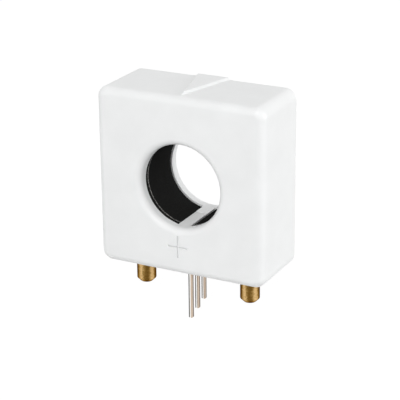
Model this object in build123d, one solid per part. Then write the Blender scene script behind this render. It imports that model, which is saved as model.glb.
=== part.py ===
"""Hall effect current sensor for a circuit board, with a hole for the conductor.

Lengths are in millimetres. X runs across the front, Y from the front to the back, Z up.
The origin is on the underside of the case, in the middle, where the case sits on the board.
"""

from build123d import *
import os

# Case, outside
case_width = 19.2
case_height = 19.4
case_depth = 8.0
corner_radius = 1.2
front_edge_radius = 0.9
hole_diameter = 9.0
hole_edge_radius = 0.8

# Case, inside
front_wall = 1.2
side_wall = 1.2
rim_wall = 0.8
inner_corner_radius = 0.4
rib_width = 0.9

# Rear cover, let into the rim
cover_thickness = 1.0
cover_gap = 0.04
cover_hole_edge = 0.15

# Magnetic core, a ring with a gap at the bottom
core_side_gap = 0.4
core_end_gap = 0.05
core_recess = 0.1
core_gap = 1.5
core_edge_radius = 0.2
core_clearance = 0.05

# Tongues of the case and of the cover that close the gap in the bore
tongue_thickness = 0.6
tongue_clearance = 0.04
tongue_joint = 0.04

# Hall IC, standing in the gap
ic_width = 4.1
ic_height = 3.0
ic_thickness = 1.2
ic_bevel = 0.3
ic_top_gap = 0.1
ic_pocket_clearance = 0.1
ic_pad_margin = 0.2

# Silicon chip on the paddle of the middle lead
chip_size = 1.0
chip_thickness = 0.25
paddle_width = 1.6
paddle_height = 1.3
paddle_bottom = 0.9

# Leads, in a line from front to back
lead_pitch = 1.5
lead_width = 0.5
lead_thickness = 0.4
lead_root = 1.3
lead_clearance = 0.05
lead_tip_radius = 0.12
lead_reach = 5.4
lead_reach_step = 0.5

# Brass mounting posts
post_inset = 3.35
post_diameter = 2.1
post_reach = 3.3
post_tip_chamfer = 0.4
root_diameter = 2.7
root_depth = 2.6
root_chamfer = 0.2
groove_height = 0.6
groove_depth = 0.2
groove_offset = 1.0
boss_wall = 0.6

# Raised arrow on the top, pointing to the front
arrow_width = 3.9
arrow_height = 0.25
arrow_flank = 0.2

front = -case_depth / 2
back = case_depth / 2
hole_height = case_height / 2
hole_radius = hole_diameter / 2
inner_front = front + front_wall
cover_front = back - cover_thickness
inner_side = case_width / 2 - side_wall
inner_top = case_height - side_wall
core_radius = min(inner_side, (inner_top - side_wall) / 2) - core_side_gap
core_end = cover_front - core_end_gap
core_bore_radius = hole_radius + core_recess
cradle_radius = core_radius + core_clearance
tongue_width = core_gap - 2 * tongue_clearance
tongue_bottom = hole_height - hole_radius - tongue_thickness
ic_bottom = tongue_bottom - ic_top_gap - ic_height
post_x = case_width / 2 - post_inset
post_radius = post_diameter / 2
root_radius = root_diameter / 2
lead_places = (("lead_supply", -1), ("lead_ground", 0), ("lead_output", 1))


def prism(section, start, end):
    """A section drawn in X and Z, extruded from one depth to another."""
    return extrude(Plane.XZ.offset(-end) * section, amount=end - start)


def block(x_range, y_range, z_range):
    """A box between two values on each axis."""
    size = [high - low for low, high in (x_range, y_range, z_range)]
    middle = [(low + high) / 2 for low, high in (x_range, y_range, z_range)]
    return Pos(*middle) * Box(*size)


def disc(radius, start, end):
    """A round bar on the axis of the conductor hole."""
    return prism(Pos(0, hole_height) * Circle(radius), start, end)


def outline(inset, radius):
    """The case's outline, moved inwards by an inset."""
    width = case_width - 2 * inset
    height = case_height - 2 * inset
    return Pos(0, hole_height) * RectangleRounded(width, height, radius)


def edges_of_hole(solid, depth):
    """The round edges of the conductor hole that lie at one depth."""
    rims = solid.edges().filter_by(GeomType.CIRCLE).filter_by(
        lambda edge: abs(edge.radius - hole_radius) < 0.01
    )
    return rims.filter_by_position(Axis.Y, depth - 0.01, depth + 0.01)


def outer_shell():
    """Front wall and side walls, open at the back, with a step that the cover sits on."""
    shell = prism(outline(0, corner_radius), front, back)
    shell = fillet(shell.edges().group_by(Axis.Y)[0], front_edge_radius)
    shell -= prism(outline(side_wall, inner_corner_radius), inner_front, back)
    rim_corner = max(corner_radius - rim_wall, inner_corner_radius)
    shell -= prism(outline(rim_wall, rim_corner), cover_front, back)
    shell -= disc(hole_radius, front, inner_front)
    return fillet(edges_of_hole(shell, front), hole_edge_radius)


def arrow():
    """Low triangle on the top, from the back edge to the start of the front radius."""
    tip = front + front_edge_radius
    sides = Polyline((-arrow_width / 2, back), (arrow_width / 2, back), (0, tip), close=True)
    foot_height = case_height - rim_wall / 2
    foot = Plane.XY.offset(foot_height) * make_face(sides)
    wedge = extrude(foot, case_height + arrow_height - foot_height)
    upper_edges = wedge.edges().group_by(Axis.Z)[-1]
    flank_edges = upper_edges.filter_by(Axis.X, reverse=True)
    return chamfer(flank_edges, arrow_flank)


def core_supports():
    """Blocks round the posts and three ribs, all cut to the core's outside."""
    half_rib = rib_width / 2
    boss_reach = root_radius + boss_wall
    depths = (inner_front, cover_front)
    rib_heights = (hole_height - half_rib, hole_height + half_rib)
    top_rib = block((-half_rib, half_rib), depths, (hole_height, inner_top))
    side_rib = block((-inner_side, inner_side), depths, rib_heights)
    boss_widths = (post_x - boss_reach, inner_side)
    boss = block(boss_widths, (inner_front, boss_reach), (side_wall, root_depth + boss_wall))
    supports = top_rib + side_rib + boss + mirror(boss, Plane.YZ)
    return supports - disc(cradle_radius, inner_front, cover_front)


def tongue(start, end):
    """Strip that closes the core's gap, flush with the hole."""
    strip = block(
        (-tongue_width / 2, tongue_width / 2), (start, end), (tongue_bottom, hole_height)
    )
    return strip - disc(hole_radius, start, end)


def ic_pad():
    """Raised pad in the floor that the Hall IC stands on."""
    half_width = core_gap / 2
    half_depth = ic_width / 2 + ic_pad_margin
    return block((-half_width, half_width), (-half_depth, half_depth), (0, ic_bottom))


def ic_pocket():
    """Space for the Hall IC, from the pad up to the tongues."""
    half_width = ic_thickness / 2 + ic_pocket_clearance
    half_depth = ic_width / 2 + ic_pocket_clearance
    heights = (ic_bottom, tongue_bottom)
    return block((-half_width, half_width), (-half_depth, half_depth), heights)


def lead_slot(place):
    """Way for one lead through the pad and the floor."""
    half_thickness = lead_thickness / 2 + lead_clearance
    half_width = lead_width / 2 + lead_clearance
    y = place * lead_pitch
    return block((-half_thickness, half_thickness), (y - half_width, y + half_width), (0, ic_bottom))


def make_post(side):
    """Turned post with a wider root, which is moulded into the floor by its groove."""
    groove_low = groove_offset
    groove_high = groove_offset + groove_height
    neck = root_radius - groove_depth
    profile = Polyline(
        (0, -post_reach),
        (post_radius - post_tip_chamfer, -post_reach),
        (post_radius, -post_reach + post_tip_chamfer),
        (post_radius, 0),
        (root_radius, 0),
        (root_radius, groove_low),
        (neck, groove_low),
        (neck, groove_high),
        (root_radius, groove_high),
        (root_radius, root_depth - root_chamfer),
        (root_radius - root_chamfer, root_depth),
        (0, root_depth),
        close=True,
    )
    post = revolve(Plane.XZ * make_face(profile), Axis.Z)
    return Pos(side * post_x, 0, 0) * post


def make_housing(posts):
    """The moulded case, in one piece with its arrow, supports, pad and front tongue."""
    housing = outer_shell() + arrow() + core_supports() + ic_pad()
    housing += tongue(inner_front, -tongue_joint / 2)
    housing -= ic_pocket()
    for name, place in lead_places:
        housing -= lead_slot(place)
    for post in posts:
        housing -= post
    return housing


def make_rear_cover():
    """Flat cover with its own hole and a tongue that meets the case's tongue."""
    inset = rim_wall + cover_gap
    corner = max(corner_radius - inset, inner_corner_radius)
    cover = prism(outline(inset, corner), cover_front, back)
    cover -= disc(hole_radius, cover_front, back)
    cover = fillet(edges_of_hole(cover, back), cover_hole_edge)
    return cover + tongue(tongue_joint / 2, cover_front)


def make_core():
    """Coated ring, seated on the front wall, cut through at the bottom."""
    ring = disc(core_radius, inner_front, core_end) - disc(core_bore_radius, inner_front, core_end)
    ring -= block((-core_gap / 2, core_gap / 2), (inner_front, core_end), (0, hole_height))
    return fillet(ring.edges(), core_edge_radius)


def make_lead(place):
    """Flat strip from inside the IC down through the floor; the middle one has a paddle."""
    y = place * lead_pitch
    half_thickness = lead_thickness / 2
    half_width = lead_width / 2
    end = -(lead_reach - place * lead_reach_step)
    top = ic_bottom + lead_root
    strip = block((-half_thickness, half_thickness), (y - half_width, y + half_width), (end, top))
    tip = strip.edges().group_by(Axis.Z)[0].filter_by(Axis.X)
    strip = fillet(tip, lead_tip_radius)
    if place == 0:
        low = ic_bottom + paddle_bottom
        strip += block(
            (-half_thickness, half_thickness),
            (-paddle_width / 2, paddle_width / 2),
            (low, low + paddle_height),
        )
    return strip


def make_chip():
    """Silicon chip, bonded to the right face of the paddle, in its middle."""
    start = lead_thickness / 2
    middle = ic_bottom + paddle_bottom + paddle_height / 2
    return block(
        (start, start + chip_thickness),
        (-chip_size / 2, chip_size / 2),
        (middle - chip_size / 2, middle + chip_size / 2),
    )


def make_ic_body(leads, chip):
    """Moulded package round the lead roots and the chip, with two bevelled edges."""
    half = ic_thickness / 2
    body = block((-half, half), (-ic_width / 2, ic_width / 2), (ic_bottom, ic_bottom + ic_height))
    right_edges = body.edges().filter_by(Axis.Z).group_by(Axis.X)[-1]
    body = chamfer(right_edges, ic_bevel)
    for piece in leads + [chip]:
        body -= piece
    return body


def make_potting(others):
    """Resin round the core and the IC, kept out of the bore and away from the tongues."""
    resin = prism(outline(side_wall, inner_corner_radius), inner_front, cover_front)
    resin -= disc(core_bore_radius + core_edge_radius, inner_front, cover_front)
    resin -= block(
        (-core_gap / 2, core_gap / 2), (inner_front, cover_front), (tongue_bottom, hole_height)
    )
    for name, place in lead_places:
        resin -= lead_slot(place)
    for piece in others:
        resin -= piece
    return resin


posts = [make_post(-1), make_post(1)]
leads = [make_lead(place) for name, place in lead_places]
chip = make_chip()
ic_body = make_ic_body(leads, chip)
core = make_core()
housing = make_housing(posts)
rear_cover = make_rear_cover()
potting = make_potting([housing, core, ic_body, chip] + leads + posts)

parts = {
    "housing": housing,
    "rear_cover": rear_cover,
    "core": core,
    "potting": potting,
    "hall_body": ic_body,
    "hall_chip": chip,
    "post_left": posts[0],
    "post_right": posts[1],
}
for (name, place), lead in zip(lead_places, leads):
    parts[name] = lead

os.makedirs("parts", exist_ok=True)
for name, solid in parts.items():
    export_step(solid, f"parts/{name}.step")
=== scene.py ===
# %% [markdown]
# # A white moulded current sensor, dressed for a product picture
#
# The part was drawn in CAD and packed. This lesson puts the looks round it in Blender: a white
# moulded case with an engraved plus and a raised arrow, a black coated magnetic ring in its
# hole, two turned brass posts and three tinned leads.

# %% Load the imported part
import math

import bpy
from mathutils import Matrix, Vector


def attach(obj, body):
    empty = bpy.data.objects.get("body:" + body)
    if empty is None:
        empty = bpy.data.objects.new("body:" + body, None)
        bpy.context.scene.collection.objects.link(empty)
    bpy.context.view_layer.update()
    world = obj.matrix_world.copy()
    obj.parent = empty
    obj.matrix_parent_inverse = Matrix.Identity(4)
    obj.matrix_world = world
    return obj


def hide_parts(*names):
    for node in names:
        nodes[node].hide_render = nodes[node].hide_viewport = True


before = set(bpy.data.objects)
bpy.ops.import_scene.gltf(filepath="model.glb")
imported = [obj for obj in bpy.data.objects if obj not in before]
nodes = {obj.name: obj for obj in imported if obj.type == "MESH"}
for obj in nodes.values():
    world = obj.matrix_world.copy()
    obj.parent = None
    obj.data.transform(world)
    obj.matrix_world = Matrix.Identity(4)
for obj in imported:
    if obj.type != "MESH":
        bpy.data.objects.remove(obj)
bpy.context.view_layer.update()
mm = 0.001
print("CAD nodes:", sorted(nodes))

# %% [markdown]
# The camera comes first, because it decides which details matter. The photograph was taken
# from the right and a little above with a long lens. The eye could be placed by trial, but
# here the angles were worked out from the case's corners, whose real places are known. The
# view is turned by angles instead of aimed at a target, because it is also rolled a little.
# A small shift then frames the part as the photograph does, without turning the view again.

# %% Camera
case_top = 19.4 * mm
hole_centre = Vector((0, 0, case_top / 2))
eye_yaw = math.radians(27.717)
eye_pitch = math.radians(19.934)
eye_distance = 155.488 * mm
look_yaw = math.radians(27.161)
look_pitch = math.radians(20.743)
look_roll = math.radians(-0.433)

camera_data = bpy.data.cameras.new("camera")
camera = bpy.data.objects.new("camera", camera_data)
bpy.context.scene.collection.objects.link(camera)
flat = math.cos(eye_pitch)
away = Vector((math.sin(eye_yaw) * flat, -math.cos(eye_yaw) * flat, math.sin(eye_pitch)))
turn = Matrix.Rotation(look_yaw, 4, "Z") @ Matrix.Rotation(math.pi / 2 - look_pitch, 4, "X")
camera.matrix_world = (
    Matrix.Translation(hole_centre + away * eye_distance)
    @ turn
    @ Matrix.Rotation(look_roll, 4, "Z")
)
camera_data.sensor_width = 36
camera_data.lens = 133.67
camera_data.shift_x = -0.0253
camera_data.shift_y = -0.0069
camera_data.clip_start = 1 * mm
camera_data.clip_end = 10
bpy.context.scene.camera = camera
print("Camera stands at, in mm:", [round(v / mm, 1) for v in camera.location])

# %% [markdown]
# Every finish is a small tree of nodes, so two helpers come next. One turns a hex colour, as a
# picture shows it, into the linear values that the renderer works with. The other adds a node
# with its settings and links in one line, which keeps a tree as short to read as to draw.

# %% Helpers for colours and nodes
def linear(code):
    """Turns a hex colour into linear red, green and blue, with an alpha of 1."""
    shown = [int(code[i:i + 2], 16) / 255 for i in (1, 3, 5)]
    straight = [c / 12.92 if c <= 0.04045 else ((c + 0.055) / 1.055) ** 2.4 for c in shown]
    return (*straight, 1.0)


def put(tree, kind, settings=None, links=None):
    """Adds one node. A setting is an input's value or a property; a link is another node's output."""
    node = tree.nodes.new(kind)
    for name, value in (settings or {}).items():
        if isinstance(name, int) or name in node.inputs.keys():
            node.inputs[name].default_value = value
        else:
            setattr(node, name, value)
    for name, source in (links or {}).items():
        tree.links.new(source, node.inputs[name])
    return node


print("Middle grey in linear values:", [round(c, 3) for c in linear("#808080")[:3]])

# %% [markdown]
# Product pictures of white parts use a white surround with soft lamps. The world is white to
# the camera and in reflections, but dimmer as a lamp, so that the white case keeps its shape
# against it. A painted backdrop would do too, but it would light the part as much as it shows.
# Light Path tells the kinds of ray apart, and the floor will ask the same question.

# %% The white world
fill_level = 0.55
scene = bpy.context.scene
scene.view_settings.view_transform = "Standard"


def shows_surround(tree):
    """Gives 1 to a ray that shows the surround: seen straight, mirrored or through glass."""
    ray = put(tree, "ShaderNodeLightPath")
    largest = {"operation": "MAXIMUM"}
    straight = {0: ray.outputs["Is Camera Ray"], 1: ray.outputs["Is Glossy Ray"]}
    seen = put(tree, "ShaderNodeMath", largest, straight)
    through = {0: seen.outputs[0], 1: ray.outputs["Is Transmission Ray"]}
    return put(tree, "ShaderNodeMath", largest, through).outputs[0]


world = bpy.data.worlds.new("white_surround")
scene.world = world
world.use_nodes = True
sky = world.node_tree
sky.nodes.clear()
shown = shows_surround(sky)
fill = put(sky, "ShaderNodeBackground", {"Color": linear("#FFFFFF"), "Strength": fill_level})
white = put(sky, "ShaderNodeBackground", {"Color": linear("#FFFFFF"), "Strength": 1.0})
mixed = put(sky, "ShaderNodeMixShader", links={0: shown, 1: fill.outputs[0], 2: white.outputs[0]})
put(sky, "ShaderNodeOutputWorld", links={"Surface": mixed.outputs[0]})
print("World fill level:", fill_level)

# %% [markdown]
# The floor is a plain white sheet that the longest lead just touches. A lit sheet never comes
# out quite white, so most of its colour is given off as light to the camera and to
# reflections, and the rest is lit in the usual way and keeps the part's soft shadow. From
# below the sheet is clear, so the underside can be looked at too.

# %% Floor
floor_height = -5.9 * mm
floor_size = 4
shadow_share = 0.2
floor_glow = 1.14
bpy.ops.object.select_all(action="DESELECT")
bpy.ops.mesh.primitive_plane_add(size=floor_size, location=(0, 0, floor_height))
floor = bpy.context.object
floor.name = "floor"
paper = bpy.data.materials.new("white_paper_sheet")
paper.use_nodes = True
tree = paper.node_tree
tree.nodes.clear()
glow_share = {"operation": "MULTIPLY", 1: 1 - shadow_share}
share = put(tree, "ShaderNodeMath", glow_share, {0: shows_surround(tree)})
lit = put(tree, "ShaderNodeBsdfDiffuse", {"Color": linear("#DDDDDD")})
glow = put(tree, "ShaderNodeEmission", {"Color": linear("#FFFFFF"), "Strength": floor_glow})
layers = {0: share.outputs[0], 1: lit.outputs[0], 2: glow.outputs[0]}
sheet = put(tree, "ShaderNodeMixShader", links=layers)
clear = put(tree, "ShaderNodeBsdfTransparent")
side = put(tree, "ShaderNodeNewGeometry")
faces = {0: side.outputs["Backfacing"], 1: sheet.outputs[0], 2: clear.outputs[0]}
both = put(tree, "ShaderNodeMixShader", links=faces)
put(tree, "ShaderNodeOutputMaterial", links={"Surface": both.outputs[0]})
floor.data.materials.append(paper)
print("Floor lies at", round(floor_height / mm, 2), "mm")

# %% [markdown]
# In the photograph the front is a light grey, the top is the darkest face and the right side
# the lightest. One lamp overhead would make the top the lightest, so the lamps stand low. The
# key lamp lights the front and a little of the top, and reaches into the hole. The right lamp
# stands a little behind the side, and two narrow strips draw the bright lines on the upright
# edge and on the metal. A lamp's level says how bright it looks, and its power follows from
# its size, so it can be made larger and softer without getting brighter.

# %% Lamps
lamp_distance = 0.45
lamp_height = 0.30


def lamp(name, azimuth, elevation, width, level):
    """A soft white lamp that faces the hole. Azimuth 0 is in front and 90 is on the right."""
    data = bpy.data.lights.new(name, "AREA")
    data.shape = "RECTANGLE"
    data.size = width
    data.size_y = lamp_height
    data.energy = level * math.pi * width * lamp_height
    data.color = linear("#FFFFFF")[:3]
    piece = bpy.data.objects.new(name, data)
    scene.collection.objects.link(piece)
    around = math.radians(azimuth)
    above = math.radians(elevation)
    flat = math.cos(above)
    away = Vector((math.sin(around) * flat, -math.cos(around) * flat, math.sin(above)))
    piece.location = hole_centre + away * lamp_distance
    piece.rotation_mode = "QUATERNION"
    piece.rotation_quaternion = away.to_track_quat("Z", "Y")
    print(name, "power in watts:", round(data.energy, 3))


lamp("key_lamp", azimuth=8, elevation=38, width=0.30, level=3.5)
lamp("right_lamp", azimuth=112, elevation=3, width=0.30, level=4.2)
lamp("edge_strip", azimuth=62, elevation=8, width=0.03, level=5.5)
lamp("left_strip", azimuth=-42, elevation=0, width=0.05, level=1.0)

# %% [markdown]
# The case is moulded from white PBT, a satin polyester with a dense body. Up close it shows faint clouds
# where the melt flowed, and a very fine grain from the spark-eroded mould. The clouds are a soft noise
# about 3 mm across that moves the colour a little, and the grain is a bump drawn at 0.12 mm, coarser
# than the real one, so that it still shows in the picture. The cover gets a whiter copy of the same
# white, with two shades of its own. This is painted brightness that stands in for light on the ring seen
# deep in the hole.

# %% White moulded plastic
cloud_size = 3.0 * mm
grain_size = 0.12 * mm
grain_depth = 0.004 * mm
plastic_ior = 1.5


def new_material(name):
    """An empty material with a principled shader and object coordinates."""
    material = bpy.data.materials.new(name)
    material.use_nodes = True
    tree = material.node_tree
    tree.nodes.clear()
    place = put(tree, "ShaderNodeTexCoord")
    shader = put(tree, "ShaderNodeBsdfPrincipled")
    put(tree, "ShaderNodeOutputMaterial", links={"Surface": shader.outputs[0]})
    return material, tree, place.outputs["Object"], shader


def moulded_white(name, thin, thick):
    """Satin white plastic with clouds between two hex colours and a fine grain."""
    material, tree, place, shader = new_material(name)
    clouds = put(tree, "ShaderNodeTexNoise", {"Scale": 1 / cloud_size, "Detail": 3.0}, {"Vector": place})
    tint = put(tree, "ShaderNodeValToRGB", links={"Fac": clouds.outputs["Fac"]})
    tint.color_ramp.elements[0].position = 0.3
    tint.color_ramp.elements[0].color = linear(thin)
    tint.color_ramp.elements[1].position = 0.7
    tint.color_ramp.elements[1].color = linear(thick)
    tree.links.new(tint.outputs["Color"], shader.inputs["Base Color"])
    satin = {"From Min": 0.3, "From Max": 0.7, "To Min": 0.36, "To Max": 0.46}
    shine = put(tree, "ShaderNodeMapRange", satin, {"Value": clouds.outputs["Fac"]})
    tree.links.new(shine.outputs["Result"], shader.inputs["Roughness"])
    grain = put(tree, "ShaderNodeTexNoise", {"Scale": 1 / grain_size, "Detail": 2.0}, {"Vector": place})
    rise = {"Strength": 0.25, "Distance": grain_depth}
    bump = put(tree, "ShaderNodeBump", rise, {"Height": grain.outputs["Fac"]})
    tree.links.new(bump.outputs["Normal"], shader.inputs["Normal"])
    shader.inputs["IOR"].default_value = plastic_ior
    return material


pbt = moulded_white("white_pbt_case", "#E9EAEA", "#EDEEEE")
# A whiter copy of the case's white: painted brightness for the cover's ring inside the hole.
cover_pbt_painted_lighter = moulded_white("white_pbt_cover_painted_lighter", "#F9FAFA", "#FCFDFD")
print("Cloud and grain size in mm:", cloud_size / mm, grain_size / mm)

# %% [markdown]
# The ring in the hole is a ferrite core under a dipped epoxy coat. The coat is nearly black
# and dull, with a skin like fine orange peel. A plain dark colour would look like a gap in
# the picture, so two noises make the skin: 0.5 mm across for the peel, and 0.1 mm for the
# grit, coarser than real grit, which also moves the colour. The shine is turned off, because
# a coat as dull as this gives back no clear light.

# %% Black epoxy coat
peel_size = 0.5 * mm
grit_size = 0.1 * mm
coat, tree, place, shader = new_material("black_epoxy_coat")
peel = put(tree, "ShaderNodeTexNoise", {"Scale": 1 / peel_size, "Detail": 2.0}, {"Vector": place})
grit = put(tree, "ShaderNodeTexNoise", {"Scale": 1 / grit_size, "Detail": 1.0}, {"Vector": place})
dark = put(tree, "ShaderNodeValToRGB", links={"Fac": grit.outputs["Fac"]})
dark.color_ramp.elements[0].position = 0.35
dark.color_ramp.elements[0].color = linear("#202020")
dark.color_ramp.elements[1].position = 0.75
dark.color_ramp.elements[1].color = linear("#2B2B2A")
matt = {"From Min": 0.3, "From Max": 0.7, "To Min": 0.5, "To Max": 0.62}
dull = put(tree, "ShaderNodeMapRange", matt, {"Value": peel.outputs["Fac"]})
tree.links.new(dull.outputs["Result"], shader.inputs["Roughness"])
fine_rise = {"Strength": 0.3, "Distance": 0.01 * mm}
fine = put(tree, "ShaderNodeBump", fine_rise, {"Height": grit.outputs["Fac"]})
peel_rise = {"Strength": 0.4, "Distance": 0.03 * mm}
over = {"Height": peel.outputs["Fac"], "Normal": fine.outputs["Normal"]}
skin = put(tree, "ShaderNodeBump", peel_rise, over)
tree.links.new(skin.outputs["Normal"], shader.inputs["Normal"])
shader.inputs["Specular IOR Level"].default_value = 0.0
print("Peel and grit size in mm:", peel_size / mm, grit_size / mm)

# %% [markdown]
# Just inside the front wall a thin broken light line is laid on the coat. It is a painted glint: light
# painted into the colour where the ring's rounded front edge would catch it. It is drawn by the distance
# from one depth of the part, and the grit breaks it into dots. A Mix node lays it over the coat. Its
# sockets for colours share their names with those for other kinds of value, so they are told apart by
# their numbers.

# %% Painted glint on the coat
glint_depth = -2.15 * mm
glint_width = 0.13 * mm
under_colour = 6
over_colour = 7
mixed_colour = 2
axes = put(tree, "ShaderNodeSeparateXYZ", links={"Vector": place})
offset = put(tree, "ShaderNodeMath", {"operation": "SUBTRACT", 1: glint_depth}, {0: axes.outputs["Y"]})
gap = put(tree, "ShaderNodeMath", {"operation": "ABSOLUTE"}, {0: offset.outputs[0]})
fade = {"From Min": 0.0, "From Max": glint_width, "To Min": 1.0, "To Max": 0.0}
line = put(tree, "ShaderNodeMapRange", fade, {"Value": gap.outputs[0]})
broken = {"From Min": 0.42, "From Max": 0.56}
dots = put(tree, "ShaderNodeMapRange", broken, {"Value": grit.outputs["Fac"]})
meet = {0: line.outputs["Result"], 1: dots.outputs["Result"]}
# Painted glint: where the line and the dots meet, a light colour is laid over the coat.
painted_glint = put(tree, "ShaderNodeMath", {"operation": "MULTIPLY"}, meet)
glint_settings = {"data_type": "RGBA", over_colour: linear("#B8B6B2")}
laid = {"Factor": painted_glint.outputs[0], under_colour: dark.outputs["Color"]}
coat_with_glint = put(tree, "ShaderNodeMix", glint_settings, laid)
tree.links.new(coat_with_glint.outputs[mixed_colour], shader.inputs["Base Color"])
print("Rubbed line at, in mm:", round(glint_depth / mm, 2))

# %% [markdown]
# The posts are turned from brass bar and left plain. Long bands along them are painted into the colour:
# the light bands are painted highlights and the brown bands painted dark reflections, as bright lamps
# and a dark surround would give. A picture of brass could be wrapped round them, but bands that follow
# the angle round the post's own axis have no seam. A noise makes them wander, and a finer one mottles
# them.

# %% Painted reflection bands round a brass post
post_place = 6.25 * mm
bands_round = 5
band_turn = math.radians(27)
band_wander = 3.0
band_strength = 0.32
wander_size = 1.0 * mm
wander_stretch = 0.35
mottle_size = 0.17 * mm


def painted_reflection_bands(tree, own, axes, seed):
    """Painted reflection bands along the post, from about 0.2 where a dark reflection is painted brown
    to 0.8 where a highlight is painted bright.
    """
    back = put(tree, "ShaderNodeMath", {"operation": "MULTIPLY", 1: -1.0}, {0: axes.outputs["Y"]})
    around = {0: axes.outputs["X"], 1: back.outputs[0]}
    angle = put(tree, "ShaderNodeMath", {"operation": "ARCTAN2"}, around)
    scale = (1 / wander_size, 1 / wander_size, wander_stretch / wander_size)
    drawn = put(tree, "ShaderNodeMapping", {"Location": (seed, 0, 0), "Scale": scale}, {"Vector": own})
    wander = put(tree, "ShaderNodeTexNoise", {"Scale": 1.0, "Detail": 2.0}, {"Vector": drawn.outputs[0]})
    start = -band_wander / 2 - band_turn * bands_round
    swing = {"operation": "MULTIPLY_ADD", 1: band_wander, 2: start}
    sway = put(tree, "ShaderNodeMath", swing, {0: wander.outputs["Fac"]})
    repeat = {"operation": "MULTIPLY_ADD", 1: float(bands_round)}
    phase = put(tree, "ShaderNodeMath", repeat, {0: angle.outputs[0], 2: sway.outputs[0]})
    wave = put(tree, "ShaderNodeMath", {"operation": "COSINE"}, {0: phase.outputs[0]})
    specks = {"Scale": 1 / mottle_size, "Detail": 3.0, "Roughness": 0.7}
    mottle = put(tree, "ShaderNodeTexNoise", specks, {"Vector": own})
    joined = {"operation": "MULTIPLY_ADD", 1: -band_strength}
    blend = put(tree, "ShaderNodeMath", joined, {0: wave.outputs[0], 2: mottle.outputs["Fac"]})
    return blend.outputs[0]


print("Bands round a post:", bands_round)

# %% [markdown]
# Turning leaves rings round the bar, too fine to see one by one. They are drawn at 0.06 mm, coarser than
# real ones. A noise that is read by the distance from the axis and by the height is the same all the way
# round, which is just what a cutting tool leaves. The colour turns a darker brown at the lower end, just
# above the tip. The tint on the reflections keeps the sides, which are seen at a shallow angle, from
# turning white.

# %% Turned brass
ring_pitch = 0.06 * mm
ring_depth = 0.004 * mm
tip_line = -3.18 * mm
tip_fade = 0.06 * mm


def turning_rings(tree, axes):
    """The normal of a surface with fine rings round an upright axis."""
    flat = put(tree, "ShaderNodeCombineXYZ", links={"X": axes.outputs["X"], "Y": axes.outputs["Y"]})
    radius = put(tree, "ShaderNodeVectorMath", {"operation": "LENGTH"}, {0: flat.outputs[0]})
    section = {"X": radius.outputs["Value"], "Z": axes.outputs["Z"]}
    profile = put(tree, "ShaderNodeCombineXYZ", links=section)
    pitch = {"Scale": 1 / ring_pitch, "Detail": 2.0}
    rings = put(tree, "ShaderNodeTexNoise", pitch, {"Vector": profile.outputs[0]})
    rise = {"Strength": 0.5, "Distance": ring_depth}
    return put(tree, "ShaderNodeBump", rise, {"Height": rings.outputs["Fac"]}).outputs["Normal"]


def turned_brass(name, axis_x, seed):
    """Brass with painted reflection bands and rings round one upright axis."""
    material, tree, place, shader = new_material(name)
    own = put(tree, "ShaderNodeMapping", {"Location": (-axis_x, 0, 0)}, {"Vector": place}).outputs[0]
    axes = put(tree, "ShaderNodeSeparateXYZ", links={"Vector": own})
    # The bands paint highlights and dark reflections into the brass colour.
    blend = painted_reflection_bands(tree, own, axes, seed)
    gold = put(tree, "ShaderNodeValToRGB", links={"Fac": blend})
    gold.color_ramp.elements[0].position = 0.2
    gold.color_ramp.elements[0].color = linear("#6E5122")
    gold.color_ramp.elements[1].position = 0.85
    gold.color_ramp.elements[1].color = linear("#DAB780")
    gold.color_ramp.elements.new(0.5).color = linear("#9A7A43")
    # Darker brown towards the bottom, just above the tip.
    low = {"From Min": tip_line, "From Max": tip_line - tip_fade, "To Min": 0.0, "To Max": 1.0}
    tip = put(tree, "ShaderNodeMapRange", low, {"Value": axes.outputs["Z"]})
    brown = {"data_type": "RGBA", over_colour: linear("#6E4310")}
    laid = {"Factor": tip.outputs["Result"], under_colour: gold.outputs["Color"]}
    darker_tip = put(tree, "ShaderNodeMix", brown, laid)
    tree.links.new(darker_tip.outputs[mixed_colour], shader.inputs["Base Color"])
    band_gloss = {"From Min": 0.3, "From Max": 0.7, "To Min": 0.5, "To Max": 0.36}
    rough = put(tree, "ShaderNodeMapRange", band_gloss, {"Value": blend})
    tree.links.new(rough.outputs["Result"], shader.inputs["Roughness"])
    tree.links.new(turning_rings(tree, axes), shader.inputs["Normal"])
    shader.inputs["Metallic"].default_value = 1.0
    shader.inputs["Specular Tint"].default_value = linear("#7E602F")
    return material


brass_left = turned_brass("turned_brass_left", -post_place, 0.0)
brass_right = turned_brass("turned_brass_right", post_place, 4.0)
print("Turning rings every, in mm:", round(ring_pitch / mm, 3))

# %% [markdown]
# The leads are stamped from copper alloy and tinned. The tin lies thick and bright in the middle of the
# front face, and it is thin along the sheared edges, where the warm copper colour shows through. The
# colours also carry painted shade: dark grey along the left edge of the front face, and a darkening from
# beige to deep brown across the side and the back. The colours are laid across the strip by its own X
# and Y, with Y wrapped at the pitch of the leads, so that one material serves all three. A noise drawn
# out along the lead gives the slightly wavy skin of dipped tin, and moves the colours a little.

# %% Tinned lead
lead_pitch = 1.5 * mm
strip_reach = 0.45 * mm
tin_wave = 0.2 * mm
wave_stretch = 0.12
edge_sway = 0.12 * mm
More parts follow.
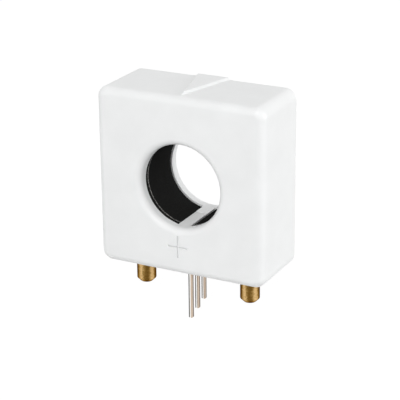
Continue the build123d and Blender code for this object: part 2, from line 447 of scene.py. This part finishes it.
# Tin and copper colours with painted shade: dark grey at the left edge, deep brown towards the far side.
tin_copper_and_shade_colours = (
    (0.00, "#4E4C4B"),
    (0.13, "#6B6866"),
    (0.19, "#FAF9F6"),
    (0.28, "#F4F1EC"),
    (0.35, "#C0AA94"),
    (0.55, "#D2C1B1"),
    (0.66, "#C9B6A4"),
    (0.74, "#6A543C"),
    (1.00, "#4C3A26"),
)
tin, tree, place, shader = new_material("tinned_copper_alloy")
axes = put(tree, "ShaderNodeSeparateXYZ", links={"Vector": place})
one_lead = {"operation": "WRAP", 1: lead_pitch / 2, 2: -lead_pitch / 2}
own_y = put(tree, "ShaderNodeMath", one_lead, {0: axes.outputs["Y"]})
scale = (1 / tin_wave, 1 / tin_wave, wave_stretch / tin_wave)
drawn = put(tree, "ShaderNodeMapping", {"Scale": scale}, {"Vector": place})
waves = put(tree, "ShaderNodeTexNoise", {"Scale": 1.0, "Detail": 2.0}, {"Vector": drawn.outputs[0]})
both_ways = {0: axes.outputs["X"], 1: own_y.outputs[0]}
across = put(tree, "ShaderNodeMath", {"operation": "ADD"}, both_ways)
swing = {"operation": "MULTIPLY_ADD", 1: edge_sway, 2: -edge_sway / 2}
sway = put(tree, "ShaderNodeMath", swing, {0: waves.outputs["Fac"]})
moved = put(tree, "ShaderNodeMath", {"operation": "ADD"}, {0: across.outputs[0], 1: sway.outputs[0]})
strip = {"From Min": -strip_reach, "From Max": strip_reach}
share = put(tree, "ShaderNodeMapRange", strip, {"Value": moved.outputs[0]})
skin = put(tree, "ShaderNodeValToRGB", links={"Fac": share.outputs["Result"]})
ramp = skin.color_ramp
ramp.elements[0].color = linear(tin_copper_and_shade_colours[0][1])
ramp.elements[1].color = linear(tin_copper_and_shade_colours[-1][1])
for position, code in tin_copper_and_shade_colours[1:-1]:
    ramp.elements.new(position).color = linear(code)
tree.links.new(skin.outputs["Color"], shader.inputs["Base Color"])
ripple_rise = {"Strength": 0.35, "Distance": 0.01 * mm}
ripple = put(tree, "ShaderNodeBump", ripple_rise, {"Height": waves.outputs["Fac"]})
tree.links.new(ripple.outputs["Normal"], shader.inputs["Normal"])
shader.inputs["Metallic"].default_value = 1.0
shader.inputs["Roughness"].default_value = 0.3
print("Colours across a lead:", len(ramp.elements))

# %% [markdown]
# Three finishes are hidden in the finished part and show only when it is taken apart. The
# first is the cast resin, grey and a little milky, with pale specks of filler that are drawn
# at 0.2 mm, coarser than real ones. Clear resin would need glass-like settings that no one
# sees, so a plain glossy colour does.

# %% Cast resin
speck_size = 0.2 * mm
resin, tree, place, shader = new_material("cast_epoxy_resin")
specks = put(tree, "ShaderNodeTexNoise", {"Scale": 1 / speck_size, "Detail": 3.0}, {"Vector": place})
milky = put(tree, "ShaderNodeValToRGB", links={"Fac": specks.outputs["Fac"]})
milky.color_ramp.elements[0].position = 0.4
milky.color_ramp.elements[0].color = linear("#C4C4C0")
milky.color_ramp.elements[1].position = 0.75
milky.color_ramp.elements[1].color = linear("#DEDDD8")
tree.links.new(milky.outputs["Color"], shader.inputs["Base Color"])
shader.inputs["Roughness"].default_value = 0.3
print("Speck size in mm:", speck_size / mm)

# %% [markdown]
# The other two belong to the Hall IC: a black moulding compound that is full of fine quartz,
# and the polished silicon of the chip. Grit as large as the coat's, coarser than real quartz,
# makes the compound look pitted. On the chip, square cells stand for the blocks of its circuit.

# %% Moulding compound and silicon
compound, tree, place, shader = new_material("black_moulding_compound")
filler = put(tree, "ShaderNodeTexNoise", {"Scale": 1 / grit_size, "Detail": 4.0}, {"Vector": place})
sooty = put(tree, "ShaderNodeValToRGB", links={"Fac": filler.outputs["Fac"]})
sooty.color_ramp.elements[0].color = linear("#1B1B1C")
sooty.color_ramp.elements[1].color = linear("#3A3A3B")
tree.links.new(sooty.outputs["Color"], shader.inputs["Base Color"])
pit_rise = {"Strength": 0.4, "Distance": 0.01 * mm}
pitted = put(tree, "ShaderNodeBump", pit_rise, {"Height": filler.outputs["Fac"]})
tree.links.new(pitted.outputs["Normal"], shader.inputs["Normal"])
shader.inputs["Roughness"].default_value = 0.6

silicon, tree, place, shader = new_material("polished_silicon")
square = {"Scale": 1 / grit_size, "distance": "CHEBYCHEV"}
tracks = put(tree, "ShaderNodeTexVoronoi", square, {"Vector": place})
slate = put(tree, "ShaderNodeValToRGB", links={"Fac": tracks.outputs["Distance"]})
slate.color_ramp.elements[0].color = linear("#5C5F6B")
slate.color_ramp.elements[1].color = linear("#8A8FA0")
tree.links.new(slate.outputs["Color"], shader.inputs["Base Color"])
shader.inputs["Metallic"].default_value = 0.8
shader.inputs["Roughness"].default_value = 0.15
print("Materials made:", len(bpy.data.materials))

# %% [markdown]
# Next come helpers for modelling. Every operator acts on what is selected, so each piece is
# made the active one and everything else is let go first. Faces are then picked in code, by
# their place and normal, the way a hand would click on them. A face looks along an axis when
# its normal reaches nearly 1 that way.

# %% Helpers for selecting
near = 0.01 * mm
square_on = 0.99


def only(piece):
    """Selects one piece, and nothing else, and makes it the active one."""
    bpy.ops.object.select_all(action="DESELECT")
    piece.select_set(True)
    bpy.context.view_layer.objects.active = piece


def ready_to_pick(piece, mode):
    """Sets a piece to pick vertices, edges or faces, with none of them selected yet."""
    only(piece)
    bpy.ops.object.mode_set(mode="EDIT")
    bpy.ops.mesh.select_mode(type=mode)
    bpy.ops.mesh.select_all(action="DESELECT")
    bpy.ops.object.mode_set(mode="OBJECT")


def pick(piece, kind, test):
    """Selects the faces, edges or vertices that pass a test, and goes on in edit mode."""
    bpy.ops.object.mode_set(mode="OBJECT")
    for part in (piece.data.polygons, piece.data.edges, piece.data.vertices):
        part.foreach_set("select", [False] * len(part))
    chosen = [item for item in getattr(piece.data, kind) if test(item)]
    for item in chosen:
        item.select = True
    bpy.ops.object.mode_set(mode="EDIT")
    return len(chosen)


print("Places closer than this count as one, in mm:", near / mm)

# %% [markdown]
# A CAD node is a mesh of loose triangles with fixed normals. That is right for showing it, but
# it can't be bevelled, so a piece that keeps the node's shape starts as a merged copy: the
# fixed normals are cleared, the doubles joined and the flat triangles made whole faces again.
# Every finished piece gets its place moved into its mesh, because the patterns read it there.

# %% Helpers for copies and finished pieces
same_place = 0.0005 * mm
flat_angle = math.radians(0.3)
round_steps = 2


def copy_of(node, name):
    """A separate copy of a CAD node's mesh with its loose triangles merged."""
    piece = bpy.data.objects.new(name, nodes[node].data.copy())
    scene.collection.objects.link(piece)
    ready_to_pick(piece, "VERT")
    bpy.ops.mesh.customdata_custom_splitnormals_clear()
    bpy.ops.object.mode_set(mode="EDIT")
    bpy.ops.mesh.select_all(action="SELECT")
    bpy.ops.mesh.remove_doubles(threshold=same_place)
    bpy.ops.mesh.dissolve_limited(angle_limit=flat_angle)
    bpy.ops.object.mode_set(mode="OBJECT")
    return piece


def apply_all(piece):
    """Applies every modifier, in order, so that the mesh is what shows."""
    only(piece)
    for modifier in list(piece.modifiers):
        bpy.ops.object.modifier_apply(modifier=modifier.name)


def soften(piece, amount, sharper_than):
    """Rounds every edge that is sharper than an angle with a Bevel modifier."""
    bevel = piece.modifiers.new("soft_edges", "BEVEL")
    bevel.width = amount
    bevel.segments = round_steps
    bevel.limit_method = "ANGLE"
    bevel.angle_limit = sharper_than
    apply_all(piece)


def settle(piece, material):
    """Moves the object's place into its mesh, then gives it its finish, slot and body."""
    only(piece)
    bpy.ops.object.transform_apply(location=True, rotation=True, scale=True)
    piece.data.materials.clear()
    piece.data.materials.append(material)
    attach(piece, "root")
    triangles = sum(len(face.vertices) - 2 for face in piece.data.polygons)
    print(piece.name, "triangles:", triangles)


print("Faces are made whole up to, in degrees:", round(math.degrees(flat_angle), 1))

# %% [markdown]
# The plus on the front is engraved, because the mould carries it as a thin raised cross. A
# font could draw it, but a cutter gives grooves with sloping walls, as a mould needs. A small
# block is the middle of the cross, and its four sides are extruded into the arms. The faces
# that look into the wall are then inset and pushed in together, which slopes every wall at once.

# %% Cutter for the plus
front_plane = -4.0 * mm
plus_centre = (-0.2 * mm, 3.12 * mm)
arms = (
    ((1, 0, 0), 1.15 * mm),
    ((-1, 0, 0), 1.15 * mm),
    ((0, 0, 1), 1.25 * mm),
    ((0, 0, -1), 1.25 * mm),
)
groove_width = 0.22 * mm
groove_depth = 0.2 * mm
groove_slope = 0.05 * mm
stand_off = 0.01 * mm
block_depth = 0.1 * mm

bpy.ops.object.select_all(action="DESELECT")
block_middle = front_plane - stand_off - block_depth / 2
bpy.ops.mesh.primitive_cube_add(size=1, location=(plus_centre[0], block_middle, plus_centre[1]))
cutter = bpy.context.object
cutter.name = "plus_cutter"
cutter.scale = (groove_width, block_depth, groove_width)
bpy.ops.object.transform_apply(location=False, rotation=False, scale=True)
ready_to_pick(cutter, "FACE")
side_reach = groove_width / 2
for direction, reach in arms:
    heading = Vector(direction)
    pick(cutter, "polygons", lambda face: (face.center - heading * side_reach).length < near)
    grow = heading * (reach - side_reach)
    bpy.ops.mesh.extrude_region_move(TRANSFORM_OT_translate={"value": grow})
pick(cutter, "polygons", lambda face: face.normal.y > square_on)
bpy.ops.mesh.inset(thickness=groove_slope, depth=groove_depth + stand_off)
bpy.ops.object.mode_set(mode="OBJECT")
bpy.ops.object.transform_apply(location=True, rotation=False, scale=False)
print("Cutter faces:", len(cutter.data.polygons))

# %% [markdown]
# The case and the cover both carry a tongue that closes the ring's gap in the hole, and the
# joint between the two shows there. The solids have it in the middle of the depth, and the
# photograph further back, so one tongue is made longer and the other shorter by the same
# amount. Extruding would leave an extra ring of edges, so the end's corners are just moved.
# The last helper shades by angle first, because the weighted normals build on that.

# %% Helpers for edges and joints
rear_plane = 4.0 * mm
tongue_half = 0.71 * mm
joint_shift = 1.2 * mm
smooth_below = math.radians(30)


def round_edges(piece, amount, test):
    """Rounds the edges whose two ends both pass a test."""
    corners = piece.data.vertices
    chosen = pick(piece, "edges", lambda edge: all(test(corners[v].co) for v in edge.vertices))
    bpy.ops.mesh.bevel(offset=amount, segments=round_steps, affect="EDGES", clamp_overlap=False)
    bpy.ops.object.mode_set(mode="OBJECT")
    print("Rounded edges:", chosen)


def slide_joint(piece, end):
    """Moves the end face of a tongue back, to where the joint shows in the hole."""
    ready_to_pick(piece, "VERT")
    reach = tongue_half + near
    moved = pick(piece, "vertices", lambda v: abs(v.co.y - end) < near and abs(v.co.x) < reach)
    bpy.ops.transform.translate(value=(0, joint_shift, 0))
    bpy.ops.object.mode_set(mode="OBJECT")
    print("Corners of the tongue moved:", moved)


def shade_evenly(piece):
    """Keeps the large faces flat and the rounds between them smooth."""
    only(piece)
    bpy.ops.object.shade_smooth_by_angle(angle=smooth_below)
    even = piece.modifiers.new("even_shading", "WEIGHTED_NORMAL")
    even.keep_sharp = True
    apply_all(piece)


print("Joint in the hole slides back by, in mm:", joint_shift / mm)

# %% [markdown]
# No moulded plastic has a truly sharp edge. A Bevel modifier would round all edges of the case
# alike, and its arrow is too low for that, so three groups are picked, each for its own amount:
# the rim at the back, the top of the arrow, and the tongue. A test for each group says in plain
# geometry where its corners lie, as one would click them. The rim runs round the back as a
# rectangle with round corners, and it stops on both sides of the arrow.

# %% Edges of the case
case_half_width = 9.6 * mm
corner_radius = 1.2 * mm
arrow_top = 19.65 * mm
rim_end = 2.4 * mm
tongue_heights = (5.0 * mm, 5.5 * mm)
front_tongue_end = -0.02 * mm


def on_rim(v):
    """True on the outer edge at the back, away from the arrow."""
    side = max(abs(v.x) - case_half_width + corner_radius, 0)
    rise = max(abs(v.z - case_top / 2) - case_top / 2 + corner_radius, 0)
    outside = math.hypot(side, rise) > corner_radius - near
    clear_of_arrow = v.z < case_top - near or abs(v.x) > rim_end - near
    return v.y > rear_plane - near and outside and clear_of_arrow


def on_arrow(v):
    """True on the flat top of the arrow."""
    return v.z > arrow_top - near


def on_tongue(v):
    """True on the upper edges of the front tongue and round the end of it."""
    along = abs(abs(v.x) - tongue_half) < near
    across = abs(v.y - joint_shift - front_tongue_end) < near
    low, high = tongue_heights
    return abs(v.x) < tongue_half + near and low < v.z < high and (along or across)


def beside_arrow(face):
    """True on the flat faces of the top and of the back."""
    top = face.normal.z > square_on and face.center.z > case_top - near
    return top or (face.normal.y > square_on and face.center.y > rear_plane - near)


print("Rim ends this far from the middle, in mm:", rim_end / mm)

# %% [markdown]
# The case takes its shape from the CAD node, because the posts, leads and cover have to fit
# it. The top and the back are cut through on both sides of the arrow, so that the rim's round
# can end there. The plus is cut last, with a Boolean, because a bevel would blur its fine walls.

# %% Case
rim_round = 0.1 * mm
arrow_round = 0.05 * mm
tongue_round = 0.06 * mm
case = copy_of("housing", "case")
slide_joint(case, front_tongue_end)
ready_to_pick(case, "FACE")
for end in (-rim_end, rim_end):
    pick(case, "polygons", beside_arrow)
    bpy.ops.mesh.bisect(plane_co=(end, 0, 0), plane_no=(1, 0, 0))
bpy.ops.object.mode_set(mode="OBJECT")
ready_to_pick(case, "EDGE")
round_edges(case, rim_round, on_rim)
round_edges(case, arrow_round, on_arrow)
round_edges(case, tongue_round, on_tongue)
cut = case.modifiers.new("plus", "BOOLEAN")
cut.operation = "DIFFERENCE"
cut.solver = "EXACT"
cut.object = cutter
apply_all(case)
bpy.data.objects.remove(cutter)
shade_evenly(case)
settle(case, pbt)
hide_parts("housing")

# %% [markdown]
# The cover at the back is a flat plate that is let into the rim. Only the outer edge of its
# back face is rounded here, because the CAD has already rounded the hole, and a Bevel modifier
# would round that once more. The cover's tongue gets shorter as the case's got longer, so that
# the two still meet.

# %% Rear cover
cover_round = 0.1 * mm
beyond_hole = 6 * mm
rear_tongue_end = 0.02 * mm


def on_plate(v):
    """True on the outer edge of the cover's back face."""
    return v.y > rear_plane - near and max(abs(v.x), abs(v.z - case_top / 2)) > beyond_hole


cover = copy_of("rear_cover", "cover")
slide_joint(cover, rear_tongue_end)
ready_to_pick(cover, "EDGE")
round_edges(cover, cover_round, on_plate)
shade_evenly(cover)
settle(cover, cover_pbt_painted_lighter)
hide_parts("rear_cover")

# %% [markdown]
# A turned post is built from its tip upwards, as a lathe would cut it: a disc is extruded and
# resized for each step of the profile. Spinning a drawn outline would give the same shape, but
# this way each step is one line of the table. The wide root with its groove is moulded into
# the floor and holds the post. The edges get a small round, as a tumbled pin has.

# %% Brass posts
post_sides = 64
post_round = 0.04 * mm
post_corner = math.radians(30)
post_profile = (
    (-3.3, 0.65),
    (-2.9, 1.05),
    (0.0, 1.05),
    (0.0, 1.35),
    (1.0, 1.35),
    (1.0, 1.15),
    (1.6, 1.15),
    (1.6, 1.35),
    (2.4, 1.35),
    (2.6, 1.15),
)


def turned_post(name, middle, material, node):
    """A turned piece on an upright axis, from a table of heights and radii in millimetres."""
    height, radius = post_profile[0]
    bpy.ops.object.select_all(action="DESELECT")
    bpy.ops.mesh.primitive_circle_add(
        vertices=post_sides, radius=radius * mm, fill_type="NGON", location=(middle, 0, height * mm)
    )
    piece = bpy.context.object
    piece.name = name
    bpy.ops.object.mode_set(mode="EDIT")
    bpy.ops.mesh.select_mode(type="FACE")
    bpy.ops.mesh.select_all(action="SELECT")
    for upper, wider in post_profile[1:]:
        rise = (0, 0, (upper - height) * mm)
        bpy.ops.mesh.extrude_region_move(TRANSFORM_OT_translate={"value": rise})
        spread = wider / radius
        pivot = (middle, 0, upper * mm)
        bpy.ops.transform.resize(value=(spread, spread, 1), center_override=pivot)
        height, radius = upper, wider
    bpy.ops.mesh.select_all(action="SELECT")
    bpy.ops.mesh.normals_make_consistent(inside=False)
    bpy.ops.object.mode_set(mode="OBJECT")
    soften(piece, post_round, post_corner)
    bpy.ops.object.shade_smooth_by_angle(angle=smooth_below)
    settle(piece, material)
    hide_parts(node)


turned_post("brass_post_left", -post_place, brass_left, "post_left")
turned_post("brass_post_right", post_place, brass_right, "post_right")

# %% [markdown]
# The leads are stamped strips, and the tin draws into a thin round along each edge. Copies of
# the CAD nodes keep their places in the floor, and a Bevel gives them that round.

# %% Leads
lead_round = 0.05 * mm
lead_corner = math.radians(40)
lead_smooth_below = math.radians(50)
for node in ("lead_supply", "lead_ground", "lead_output"):
    lead = copy_of(node, "tinned_" + node)
    soften(lead, lead_round, lead_corner)
    bpy.ops.object.shade_smooth_by_angle(angle=lead_smooth_below)
    settle(lead, tin)
    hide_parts(node)

# %% [markdown]
# The core, the resin, the Hall IC and its chip have the right shape as they are. Copies of
# them would show nothing more, so they stay as CAD nodes and take their finishes.

# %% Finishes for the nodes that stay
finishes = (
    ("core", coat),
    ("potting", resin),
    ("hall_body", compound),
    ("hall_chip", silicon),
)
for name, material in finishes:
    nodes[name].data.materials.clear()
    nodes[name].data.materials.append(material)
print("Finished nodes:", len(finishes))
